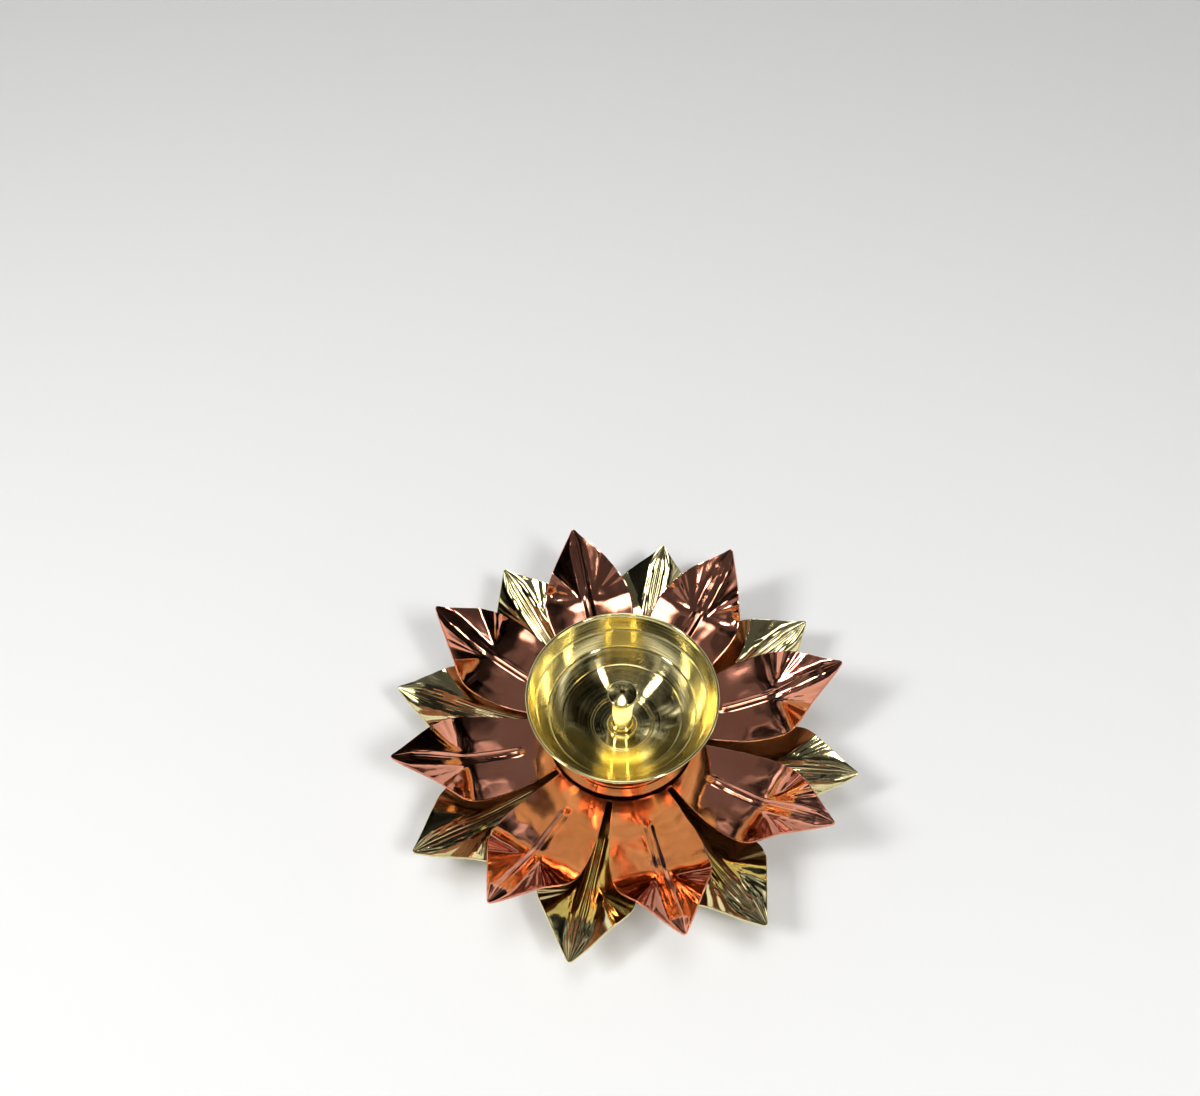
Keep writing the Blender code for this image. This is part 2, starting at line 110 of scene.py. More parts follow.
def blendColours(nodes, links, factor, first, second):
    mix = nodes.new("ShaderNodeMix")
    mix.data_type = "RGBA"
    mix.inputs[6].default_value = (*first, 1.0)
    mix.inputs[7].default_value = (*second, 1.0)
    links.new(factor, mix.inputs[0])
    return mix.outputs[2]


def mapValue(nodes, links, value, low, high, fromLow=0.3, fromHigh=0.7):
    spread = nodes.new("ShaderNodeMapRange")
    spread.inputs["From Min"].default_value = fromLow
    spread.inputs["From Max"].default_value = fromHigh
    spread.inputs["To Min"].default_value = low
    spread.inputs["To Max"].default_value = high
    links.new(value, spread.inputs["Value"])
    return spread.outputs["Result"]


def fadeBetween(nodes, links, value, start, stop, low=0.0, high=1.0):
    fade = nodes.new("ShaderNodeMapRange")
    fade.interpolation_type = "SMOOTHSTEP"
    fade.inputs["From Min"].default_value = start
    fade.inputs["From Max"].default_value = stop
    fade.inputs["To Min"].default_value = low
    fade.inputs["To Max"].default_value = high
    links.new(value, fade.inputs["Value"])
    return fade.outputs["Result"]


def calculate(nodes, links, operation, *values):
    node = nodes.new("ShaderNodeMath")
    node.operation = operation
    for socket, value in zip(node.inputs, values):
        if isinstance(value, float):
            socket.default_value = value
        else:
            links.new(value, socket)
    return node.outputs[0]


def stretchedNoise(nodes, links, place, stretch, detail=3.0, shift=0.0):
    # noise whose grains are 1 / stretch long on each axis
    drawn = nodes.new("ShaderNodeVectorMath")
    drawn.operation = "MULTIPLY_ADD"
    links.new(place, drawn.inputs[0])
    drawn.inputs[1].default_value = stretch
    drawn.inputs[2].default_value = (shift, shift, shift)
    cloud = addNode(nodes, "ShaderNodeTexNoise", Scale=1.0, Detail=detail)
    links.new(drawn.outputs["Vector"], cloud.inputs["Vector"])
    return cloud.outputs["Fac"]


sheetGrain = dict(
    # grains per metre along and across the petal, and a step from petal to petal
    clouds=(55.0, 90.0, 3.1),
    marks=(150.0, 6500.0, 3.1),
    patches=(60.0, 140.0, 3.1),
    markRange=(0.15, 0.42),
    markDepth=0.01 * mm,
)


def polishedSheet(name, look):
    material, nodes, links, shader = startMaterial(name)
    # the flower's own grain: distance along the petal, distance aside, petal number
    grain = addNode(nodes, "ShaderNodeAttribute")
    grain.attribute_name = "petalGrain"
    place = grain.outputs["Vector"]

    clouds = stretchedNoise(nodes, links, place, sheetGrain["clouds"], detail=5.0)
    tone = mapValue(nodes, links, clouds, 0.0, 1.0)
    colour = blendColours(nodes, links, tone, look["colour"], look["tarnish"])
    links.new(colour, shader.inputs["Base Color"])
    shader.inputs["Metallic"].default_value = 1.0

    # polishing marks run along the petal, in patches where the buff has pressed harder
    marks = stretchedNoise(nodes, links, place, sheetGrain["marks"])
    patches = stretchedNoise(nodes, links, place, sheetGrain["patches"], shift=9.0)
    marks = calculate(nodes, links, "MULTIPLY", marks, patches)
    rough = mapValue(nodes, links, marks, look["smooth"], look["dull"], *sheetGrain["markRange"])
    links.new(rough, shader.inputs["Roughness"])

    depth = sheetGrain["markDepth"]
    bump = addNode(nodes, "ShaderNodeBump", Strength=look["scratch"], Distance=depth)
    links.new(marks, bump.inputs["Height"])
    links.new(bump.outputs["Normal"], shader.inputs["Normal"])
    return material


def cutEdge(name, look):
    material, nodes, links, shader = startMaterial(name)
    place = nodes.new("ShaderNodeTexCoord").outputs["Object"]
    speckle = stretchedNoise(nodes, links, place, (900.0, 900.0, 2400.0))
    tone = mapValue(nodes, links, speckle, 0.0, 1.0)
    colour = blendColours(nodes, links, tone, look["colour"], look["tarnish"])
    links.new(colour, shader.inputs["Base Color"])
    links.new(mapValue(nodes, links, speckle, 0.2, 0.4), shader.inputs["Roughness"])
    shader.inputs["Metallic"].default_value = 1.0
    return material


def turnedMetal(name, look):
    material, nodes, links, shader = startMaterial(name)
    place = nodes.new("ShaderNodeTexCoord").outputs["Object"]
    split = nodes.new("ShaderNodeSeparateXYZ")
    links.new(place, split.inputs["Vector"])
    x, y = split.outputs["X"], split.outputs["Y"]
    square = calculate(nodes, links, "MULTIPLY", x, x)
    square = calculate(nodes, links, "MULTIPLY_ADD", y, y, square)
    fromAxis = calculate(nodes, links, "SQRT", square)

    # the lathe's rings: noise that changes quickly with radius and height, slowly round the axis
    ringPlace = nodes.new("ShaderNodeCombineXYZ")
    links.new(fromAxis, ringPlace.inputs["X"])
    links.new(split.outputs["Z"], ringPlace.inputs["Z"])
    stretched = nodes.new("ShaderNodeVectorMath")
    stretched.operation = "MULTIPLY_ADD"
    links.new(ringPlace.outputs["Vector"], stretched.inputs[0])
    stretched.inputs[1].default_value = (look["rings"],) * 3
    wander = nodes.new("ShaderNodeVectorMath")
    wander.operation = "SCALE"
    wander.inputs["Scale"].default_value = look["wander"]
    links.new(place, wander.inputs[0])
    links.new(wander.outputs["Vector"], stretched.inputs[2])
    rings = addNode(nodes, "ShaderNodeTexNoise", Scale=1.0, Detail=5.0, Roughness=0.65)
    links.new(stretched.outputs["Vector"], rings.inputs["Vector"])

    cloudy = addNode(nodes, "ShaderNodeTexNoise", Scale=look["tarnishScale"], Detail=5.0)
    links.new(place, cloudy.inputs["Vector"])
    tone = mapValue(nodes, links, cloudy.outputs["Fac"], 0.0, 1.0)
    colour = blendColours(nodes, links, tone, look["colour"], look["tarnish"])
    links.new(colour, shader.inputs["Base Color"])
    shader.inputs["Metallic"].default_value = 1.0
    rough = mapValue(nodes, links, rings.outputs["Fac"], look["smooth"], look["dull"], 0.35, 0.65)
    links.new(rough, shader.inputs["Roughness"])
    shader.inputs["Anisotropic"].default_value = look["anisotropic"]
    shader.inputs["Anisotropic Rotation"].default_value = 0.25
    along = nodes.new("ShaderNodeTangent")
    along.direction_type = "RADIAL"
    along.axis = "Z"
    links.new(along.outputs["Tangent"], shader.inputs["Tangent"])
    bump = addNode(nodes, "ShaderNodeBump", Strength=look["ringDepth"], Distance=0.02 * mm)
    links.new(rings.outputs["Fac"], bump.inputs["Height"])
    links.new(bump.outputs["Normal"], shader.inputs["Normal"])
    return material


copperLook = dict(
    colour=(0.87, 0.37, 0.25),
    tarnish=(0.79, 0.31, 0.19),
    smooth=0.04,
    dull=0.16,
    scratch=0.5,
)
paleBrassLook = dict(
    colour=(0.85, 0.76, 0.43),
    tarnish=(0.78, 0.67, 0.33),
    smooth=0.04,
    dull=0.16,
    scratch=0.5,
)
# the undersides are rougher, and their colour is darkened as painted shade
copperUnderShadeLook = dict(
    colour=(0.46, 0.19, 0.12),
    tarnish=(0.34, 0.13, 0.08),
    smooth=0.22,
    dull=0.40,
    scratch=0.3,
)
brassUnderShadeLook = dict(
    copperUnderShadeLook,
    colour=(0.56, 0.48, 0.22),
    tarnish=(0.44, 0.35, 0.14),
)
yellowBrassLook = dict(
    colour=(0.90, 0.79, 0.41),
    tarnish=(0.81, 0.68, 0.29),
    tarnishScale=70.0,
    smooth=0.05,
    dull=0.20,
    rings=2600.0,
    wander=30.0,
    ringDepth=0.25,
    anisotropic=0.98,
)
copperTurnedLook = dict(
    yellowBrassLook,
    colour=(0.82, 0.36, 0.24),
    tarnish=(0.72, 0.28, 0.18),
    smooth=0.06,
    dull=0.14,
    ringDepth=0.3,
    anisotropic=0.3,
)
zincLook = dict(
    yellowBrassLook,
    colour=(0.66, 0.66, 0.64),
    tarnish=(0.55, 0.55, 0.50),
    smooth=0.25,
    dull=0.42,
    anisotropic=0.2,
)


# Turned pieces

def applyModifiers(piece):
    depsgraph = bpy.context.evaluated_depsgraph_get()
    made = bpy.data.meshes.new_from_object(piece.evaluated_get(depsgraph))
    piece.modifiers.clear()
    old = piece.data
    piece.data = made
    bpy.data.meshes.remove(old)
    return piece


def meshPiece(name, shape, materials):
    mesh = bpy.data.meshes.new(name)
    shape.to_mesh(mesh)
    shape.free()
    for material in materials:
        mesh.materials.append(material)
    piece = bpy.data.objects.new(name, mesh)
    bpy.context.scene.collection.objects.link(piece)
    return piece


def turnPiece(name, profile, material, closed=True, segments=160, sharp=35.0):
    # profile: (radius, height) points that run down the outer side
    shape = bmesh.new()
    points = [shape.verts.new((r, 0.0, z)) for r, z in profile]
    for first, second in zip(points, points[1:]):
        shape.edges.new((first, second))
    if closed:
        shape.edges.new((points[-1], points[0]))
    piece = meshPiece(name, shape, [material])
    turning = piece.modifiers.new("turning", "SCREW")
    turning.steps = segments
    turning.render_steps = segments
    turning.use_merge_vertices = True
    turning.merge_threshold = clean
    applyModifiers(piece)
    piece.data.shade_smooth()
    piece.data.set_sharp_from_angle(angle=math.radians(sharp))
    return piece


def roundCorners(corners, radius, steps=4, closed=True):
    # every corner of a profile becomes a short arc, cut to fit the lines beside it
    count = len(corners)
    out = []
    for index, corner in enumerate(corners):
        here = Vector(corner)
        if not closed and index in (0, count - 1):
            out.append(tuple(here))
            continue
        before = Vector(corners[index - 1]) - here
        after = Vector(corners[(index + 1) % count]) - here
        reach = min(radius, 0.4 * before.length, 0.4 * after.length)
        start = here + before.normalized() * reach
        stop = here + after.normalized() * reach
        for step in range(steps + 1):
            t = step / steps
            out.append(tuple((1 - t) ** 2 * start + 2 * t * (1 - t) * here + t * t * stop))
    return out


def settle(piece, body, slot, *nodes):
    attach(piece, body)
    if nodes:
        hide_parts(*nodes)
    return piece


bowlShape = dict(
    wall=1.0 * mm,
    pad=9.5 * mm,
    hole=2.8 * mm,
    floorFlat=5.45 * mm,
    floorThick=2.2 * mm,
    lipRound=0.5 * mm,
    lipSteps=8,
    padChamfer=0.2 * mm,
    rimGap=0.02 * mm,     # the outer arc ends this far inside the rim
    arcSteps=90,
    grooves=(28.6 * mm, 24.8 * mm, 20.2 * mm, 10.8 * mm),   # engraved circles, by radius
    twinGroove=0.9 * mm,
    grooveWidth=0.14 * mm,
    grooveDepth=0.10 * mm,
    grooveRows=(-2.0, -1.3, -0.8, -0.4, 0.0, 0.4, 0.8, 1.3, 2.0),   # in groove widths
)


def makeBowl(material):
    low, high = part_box("oil_bowl")
    rim = high.x
    top = high.z
    floorTop = low.z + bowlShape["floorThick"]
    depth = top - floorTop
    innerRim = rim - bowlShape["wall"]
    inner = (innerRim ** 2 + depth ** 2) / (2.0 * depth)
    outer = inner + bowlShape["wall"]
    centre = floorTop + inner
    steps = bowlShape["arcSteps"]

    def arc(ball, fromRadius, toRadius, cut, extraRadii=()):
        start, stop = math.asin(fromRadius / ball), math.asin(toRadius / ball)
        angles = [start + (stop - start) * index / steps for index in range(steps + 1)]
        angles += [math.asin(radius / ball) for radius in extraRadii]
        points = []
        for angle in sorted(angles):
            radius = ball * math.sin(angle)
            dip = cut(radius)
            points.append(
                ((ball + dip) * math.sin(angle), centre - (ball + dip) * math.cos(angle))
            )
        return points

    circles = list(bowlShape["grooves"])
    circles.append(bowlShape["grooves"][-1] - bowlShape["twinGroove"])

    def engraved(radius):
        nearest = min(abs(radius - circle) for circle in circles)
        return bowlShape["grooveDepth"] * math.exp(-((nearest / bowlShape["grooveWidth"]) ** 2))

    lip, lipSteps = bowlShape["lipRound"], bowlShape["lipSteps"]
    pad, chamfer = bowlShape["pad"], bowlShape["padChamfer"]
    outside = arc(outer, pad, rim - bowlShape["rimGap"], lambda radius: 0.0)
    grooveRadii = [
        circle + row * bowlShape["grooveWidth"]
        for circle in circles
        for row in bowlShape["grooveRows"]
    ]
    inside = arc(inner, bowlShape["floorFlat"], innerRim, engraved, grooveRadii)
    crest = []
    middle = 0.5 * (rim + innerRim)
    for step in range(lipSteps + 1):
        angle = math.pi * step / lipSteps
        radius = middle - 0.5 * (rim - innerRim) * math.cos(angle)
        crest.append((radius, top - lip + lip * math.sin(angle)))
    inside = [p for p in inside if p[1] < top - lip]
    outside = [p for p in outside if p[1] < top - lip]
    profile = list(reversed(outside))
    profile += [
        (pad, low.z + chamfer),
        (pad - chamfer, low.z),
        (bowlShape["hole"], low.z),
        (bowlShape["hole"], floorTop),
    ]
    profile += inside + crest
    bowl = turnPiece("brass_bowl", profile, material, segments=224, sharp=45.0)
    return settle(bowl, "lamp", "yellow_brass", "oil_bowl")


postShape = dict(
    stem=3.35 * mm,
    base=3.75 * mm,
    baseHeight=1.2 * mm,
    capEdge=1.0 * mm,
    capCone=1.1 * mm,
    capChamfer=0.15 * mm,
    capUnderChamfer=0.1 * mm,
    capLand=0.03 * mm,        # how far the cone's foot stands above the cap's edge
    grooveBelowCap=2.2 * mm,
    grooveWidth=0.5 * mm,
    grooveSide=0.2 * mm,
    grooveDepth=0.12 * mm,
    bore=0.85 * mm,
    boreDepth=12.0 * mm,
    axle=2.5 * mm,
    axleLength=22.7 * mm,
    axleChamfer=0.5 * mm,
    threadPitch=0.8 * mm,
    threadDepth=0.35 * mm,
    threadLength=8.0 * mm,
    threadRunout=0.4 * mm,
    cornerRound=0.12 * mm,
)


def makePost(material):
    low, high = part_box("wick_post")
    cap, stem, base = high.x, postShape["stem"], postShape["base"]
    chamfer, underChamfer = postShape["capChamfer"], postShape["capUnderChamfer"]
    capTop = high.z - postShape["capCone"]
    capLow = capTop - postShape["capEdge"]
    foot = low.z + postShape["axleLength"]
    boreLow = high.z - postShape["boreDepth"]
    side, neck = postShape["grooveSide"], stem - postShape["grooveDepth"]
    grooveTop = capLow - postShape["grooveBelowCap"]
    grooveLow = grooveTop - side - postShape["grooveWidth"]
    corners = [
        (0.0, boreLow),
        (postShape["bore"], boreLow),
        (postShape["bore"], high.z),
        (cap - chamfer, capTop + postShape["capLand"]),
        (cap, capTop - chamfer),
        (cap, capLow + underChamfer),
        (cap - underChamfer, capLow),
        (stem, capLow),
        (stem, grooveTop),
        (neck, grooveTop - side),
        (neck, grooveLow),
        (stem, grooveLow - side),
        (stem, foot + postShape["baseHeight"]),
        (base, foot + 0.6 * postShape["baseHeight"]),
        (base, foot + chamfer),
        (base - chamfer, foot),
        (postShape["axle"], foot),
    ]
    profile = roundCorners(corners, postShape["cornerRound"], steps=2, closed=False)
    turns = postShape["threadLength"] / postShape["threadPitch"]
    threadTop = low.z + postShape["threadLength"]
    for index in range(int(turns * 2) + 1):
        height = threadTop - index * 0.5 * postShape["threadPitch"]
        inset = postShape["threadDepth"] if index % 2 else 0.0
        if height > low.z + postShape["threadRunout"]:
            profile.append((postShape["axle"] - inset, height))
    profile += [(postShape["axle"] - postShape["axleChamfer"], low.z), (0.0, low.z)]
    post = turnPiece("brass_wick_post", profile, material, closed=False, segments=96, sharp=28.0)
    return settle(post, "lamp", "yellow_brass", "wick_post")


collarShape = dict(
    edgeWidth=0.2 * mm,
    edgeHeight=0.25 * mm,
    seat=0.15 * mm,           # depth of the seat for the post's base
    seatGap=0.3 * mm,
    cornerRound=0.12 * mm,
)


def makeCollar(material):
    low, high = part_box("post_collar")
    seat = collarShape["seat"]
    seatEdge = postShape["base"] + collarShape["seatGap"]
    corners = [
        (high.x - collarShape["edgeWidth"], high.z),
        (high.x, high.z - collarShape["edgeHeight"]),
        (high.x, low.z),
        (bowlShape["hole"], low.z),
        (bowlShape["hole"], high.z - seat),
        (seatEdge, high.z - seat),
        (seatEdge + seat, high.z),
    ]
    profile = roundCorners(corners, collarShape["cornerRound"], steps=3)
    collar = turnPiece("brass_post_collar", profile, material, segments=128)
    return settle(collar, "lamp", "yellow_brass", "post_collar")


saucerShape = dict(
    flat=19.5 * mm,
    bead=4.0 * mm,
    rise=1.6 * mm,
    swell=1.6,            # how late the bead rises
    crown=0.8,            # share of the bead's width at which it is highest
    edgeDrop=0.5 * mm,
    ridgeHeight=0.12 * mm,
    ridgeSpacing=1.5 * mm,
    steps=64,
)


def makeSaucer(material):
    low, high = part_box("bowl_saucer")
    flat, bead, rise = (saucerShape[k] for k in ("flat", "bead", "rise"))
    drop, crown, steps = (saucerShape[k] for k in ("edgeDrop", "crown", "steps"))
    lower = [(flat, low.z)]
    for index in range(1, steps + 1):
        share = index / steps
        lift = math.sin(0.5 * math.pi * min(1.0, share / crown)) ** saucerShape["swell"]
        ridges = math.cos(math.tau * bead * (share - 1.0) / saucerShape["ridgeSpacing"])
        fall = 0.5 * drop * max(0.0, share - crown) / (1.0 - crown)
        height = rise * lift + saucerShape["ridgeHeight"] * share * ridges - fall
        lower.append((flat + bead * share, low.z + height))
    lower.append((high.x, low.z + rise - drop))
    upper = [(radius, height + sheetThick) for radius, height in lower]
    profile = [(bowlShape["hole"], low.z + sheetThick)] + upper
    profile += [(high.x, low.z + rise - drop + 0.5 * sheetThick)]
    profile += list(reversed(lower)) + [(bowlShape["hole"], low.z)]
    saucer = turnPiece("copper_saucer", profile, material, segments=192, sharp=50.0)
    return settle(saucer, "lamp", "copper", "bowl_saucer")


spacerShape = dict(flange=1.4 * mm, waist=8.5 * mm, cornerRound=0.5 * mm)


def makeSpacer(material):
    low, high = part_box("flower_spacer")
    flange, waist = spacerShape["flange"], spacerShape["waist"]
    corners = [
        (high.x, high.z),
        (high.x, high.z - flange),
        (waist, high.z - 2.0 * flange),
        (waist, low.z + 2.0 * flange),
        (high.x, low.z + flange),
        (high.x, low.z),
        (bowlShape["hole"], low.z),
        (bowlShape["hole"], high.z),
    ]
    profile = roundCorners(corners, spacerShape["cornerRound"])
    spacer = turnPiece("brass_spacer", profile, material, segments=112)
    return settle(spacer, "lamp", "yellow_brass", "flower_spacer")


footShape = dict(
    wall=1.5 * mm,
    rimWidth=3.2 * mm,
    rimHeight=1.4 * mm,
    rimSlope=0.3 * mm,
    rimTop=0.2 * mm,
    table=15.0 * mm,
    neck=12.8 * mm,
    cornerRound=0.35 * mm,
)


def makeFoot(material):
    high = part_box("foot")[1]
    wall, rimHeight, slope = (footShape[k] for k in ("wall", "rimHeight", "rimSlope"))
    rimInner = high.x - footShape["rimWidth"]
    plateUnder = high.z - wall
    neckHeight = plateUnder - wall
    corners = [
        (footShape["table"], high.z),
        (footShape["table"], plateUnder),
        (footShape["neck"] + wall, neckHeight),
        (rimInner - wall, rimHeight + wall),
        (high.x - footShape["rimTop"], rimHeight),
        (high.x, rimHeight - slope),
        (high.x, 0.0),
        (rimInner, 0.0),
        (rimInner - wall, rimHeight - slope),
        (footShape["neck"], neckHeight - wall),
        (footShape["neck"] - wall, plateUnder),
        (bowlShape["hole"], plateUnder),
        (bowlShape["hole"], high.z),
    ]
    profile = roundCorners(corners, footShape["cornerRound"])
    foot = turnPiece("brass_foot", profile, material, segments=176)
    return settle(foot, "lamp", "yellow_brass", "foot")


def makeWasher(material):
    low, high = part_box("clamp_washer")
    corners = [
        (high.x, high.z),
        (high.x, low.z),
        (bowlShape["hole"], low.z),
        (bowlShape["hole"], high.z),
    ]
    washer = turnPiece("steel_washer", roundCorners(corners, 0.15 * mm), material, segments=72)
    return settle(washer, "lamp", "zinc_steel", "clamp_washer")


nutShape = dict(
    flats=8.0 * mm,
    countersink=0.5 * mm,
    chamfer=30.0,
    faceInset=0.05 * mm,      # the end faces are this much smaller than the flats
    rows=24,
    steps=144,
)


def makeNut(material):
    low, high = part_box("clamp_nut")
    flat = 0.5 * nutShape["flats"]
    corner = flat / math.cos(math.pi / 6.0)
    face = flat - nutShape["faceInset"]
    slope = math.tan(math.radians(nutShape["chamfer"]))
    hole, sink = bowlShape["hole"], nutShape["countersink"]
    rows, steps = nutShape["rows"], nutShape["steps"]
    shape = bmesh.new()
    # a turned ring whose outer wall is drawn in to the six flats, and whose corners are chamfered
    profile = [(corner, high.z - (high.z - low.z) * row / rows) for row in range(rows + 1)]
    profile += [(hole + sink, low.z), (hole, low.z + sink)]
    profile += [(hole, high.z - sink), (hole + sink, high.z)]
    rings = []
    for step in range(steps):
        angle = math.tau * step / steps
        toFlat = abs((math.degrees(angle) % 60.0) - 30.0)
        across = flat / math.cos(math.radians(30.0 - toFlat))
        ring = []
        for radius, height in profile:
            if radius == corner:
                inward = min(height - low.z, high.z - height)
                radius = min(across, face + inward / slope)
            place = (radius * math.cos(angle), radius * math.sin(angle), height)
            ring.append(shape.verts.new(place))
        rings.append(ring)
    for step in range(steps):
        here, there = rings[step], rings[(step + 1) % steps]
        for index in range(len(profile)):
            following = (index + 1) % len(profile)
            shape.faces.new((here[index], here[following], there[following], there[index]))
    bmesh.ops.recalc_face_normals(shape, faces=shape.faces)
    nut = meshPiece("steel_nut", shape, [material])
    nut.data.shade_smooth()
    nut.data.set_sharp_from_angle(angle=math.radians(25.0))
    return settle(nut, "lamp", "zinc_steel", "clamp_nut")


# Sheet flowers

stamp = dict(
    petals=8,
    hole=2.8 * mm,
    root=26.8 * mm,
    slotWidth=3.5 * mm,
    halfWidth=16.0 * mm,
    tipRound=0.8 * mm,
    shoulderRound=0.29,
    firstBend=40.0 * mm,
    firstBendLength=8.0 * mm,
    secondBend=54.7 * mm,
    secondBendLength=9.0 * mm,
    # the rib: a flat-topped band with a rounded nose, wider and higher past the bend
    ribStart=34.0 * mm,
    ribNose=2.6 * mm,
    ribHeight=0.55 * mm,
    ribOuterHeight=0.7 * mm,
    ribNarrow=1.5 * mm,   # half widths
    ribWide=2.6 * mm,
    ribWidens=50.0 * mm,
    ribWidened=70.0 * mm,
    ribFlat=0.15,
    ribFoot=1.4,
    ribShare=0.55,        # most of the petal's half width that half a rib takes
    fadeWidth=5.0 * mm,   # the rib sinks where a petal is narrower
    ribLines=0.42,        # distance between its fine ridges, as a share of its half width
    ribLineDepth=0.035 * mm,
    # inside the cross bend each half is slightly dished
    cheekCentre=48.0 * mm,
    cheekLength=8.0 * mm,
    cheekDepth=0.3 * mm,
    # past the bend each half folds up towards its edge and falls to a trough beside the rib
    foldStart=55.6 * mm,
    foldLag=1.8 * mm,     # how much later it starts at the edge
    foldSlope=0.42,
    foldStray=1.5 * mm,   # how far it strays from petal to petal
    foldUneven=0.15,
    foldRound=1.8 * mm,
    foldSoftening=2.6 * mm,
    troughAt=2.3 * mm,
    troughSlope=0.44,
    troughUneven=0.2,
    troughRound=1.0 * mm,
    edgeCurl=0.5 * mm,
    curlLength=28.0 * mm,
    # flutes gather beside the rib and run together at the tip
    fluteStart=52.0 * mm,
    fluteGrowth=14.0 * mm,
    fluteSpacing=0.13,
    fluteReach=0.36,
    fluteDepth=0.0024,
    fluteWander=1.6,
    fluteStray=9.0 * mm,
    # creases fan out from the knee, where the bend meets the rib
    fanFrom=8.0,          # degrees from the rib
    fanTo=92.0,
    fanFade=22.0,
    fanInner=7.0 * mm,
    fanNarrow=9.0 * mm,
    fanSpacing=24.0,
    fanDepth=0.011,
    fanWander=1.3,
    looseLength=12.0 * mm,
    looseWidth=8.0 * mm,
    dents=0.2 * mm,
    dentSize=11.0 * mm,
    crumples=0.05 * mm,
    crumpleSize=3.6 * mm,
    dimple=0.4 * mm,
    dimpleSize=2.0 * mm,
    dimpleAt=58.5 * mm,
    dimpleAside=0.86,
    # rows of the mesh, closest round the cross bend and at the tip
    rowRuns=((50.0 * mm, 24), (64.0 * mm, 34), (-1.6 * mm, 22), (0.0, 8)),
    columns=96,
    columnBias=1.5,       # columns stand closer beside the midline
    discRings=10,
    edgeRound=0.1 * mm,
)
copperShape = dict(
    name="copper_petals",
    node="copper_flower",
    body="copper_layer",
    slot="copper",
    reach=81.5 * mm,
    shoulder=52.7 * mm,
    firstLift=9.6,
    secondLift=20.0,
    turn=14.5,
    seed=3.0,
    fluting=0.8,
    ribScale=1.0,
)
brassShape = dict(
    name="brass_petals",
    node="brass_flower",
    body="brass_layer",
    slot="pale_brass",
    reach=82.4 * mm,
    shoulder=57.5 * mm,
    firstLift=8.0,
    secondLift=7.8,
    turn=-10.7,
    seed=17.0,
    fluting=2.2,
    ribScale=1.5,
)


def smoothStep(value):
    share = min(max(value, 0.0), 1.0)
    return share * share * (3.0 - 2.0 * share)


def softRamp(value, corner):
    # 0 below 0, the value itself above it, with a rounded corner
    return 0.5 * (value + math.sqrt(value * value + corner * corner))


def spineOf(shape, discTop):
    # radius and height along a petal's midline, by distance along the bent sheet
    steps = 600
    along = np.linspace(0.0, shape["reach"], steps)
    slope = []
    for place in along:
        first = smoothStep((place - stamp["firstBend"]) / stamp["firstBendLength"] + 0.5)
        second = smoothStep((place - stamp["secondBend"]) / stamp["secondBendLength"] + 0.5)
        slope.append(math.radians(shape["firstLift"] * first + shape["secondLift"] * second))
    step = shape["reach"] / (steps - 1)
    radius = np.concatenate(([0.0], np.cumsum(np.cos(slope[1:]) * step)))
    height = np.concatenate(([0.0], np.cumsum(np.sin(slope[1:]) * step)))
    return along, radius, discTop + height


def halfWidth(shape, along):
    sector = math.pi / stamp["petals"]
    root = stamp["root"] * math.tan(sector) - 0.5 * stamp["slotWidth"] / math.cos(sector)
    if along <= shape["shoulder"]:
        share = (along - stamp["root"]) / (shape["shoulder"] - stamp["root"])
        return root + (stamp["halfWidth"] - root) * math.sin(0.5 * math.pi * share)
    share = (along - shape["shoulder"]) / (shape["reach"] - shape["shoulder"])
    bend = stamp["shoulderRound"]
    fall = 1.0 / (1.0 - 0.5 * bend)
    narrowing = 1.0 - fall * share ** 2 / (2.0 * bend) if share < bend else fall * (1.0 - share)
    tip = 0.5 * stamp["tipRound"]
    width = tip + (stamp["halfWidth"] - tip) * narrowing
    left = shape["reach"] - along
    if left < stamp["tipRound"]:
        width *= math.sqrt(max(0.0, 1.0 - (1.0 - left / stamp["tipRound"]) ** 2))
    return width


def roll(shape, petal, number):
    # a petal's own share of hand work, between -1 and 1
    place = Vector((shape["seed"] * 7.3 + number * 5.1, petal * 2.77, number * 1.9))
    return noise.noise(place) * 2.0


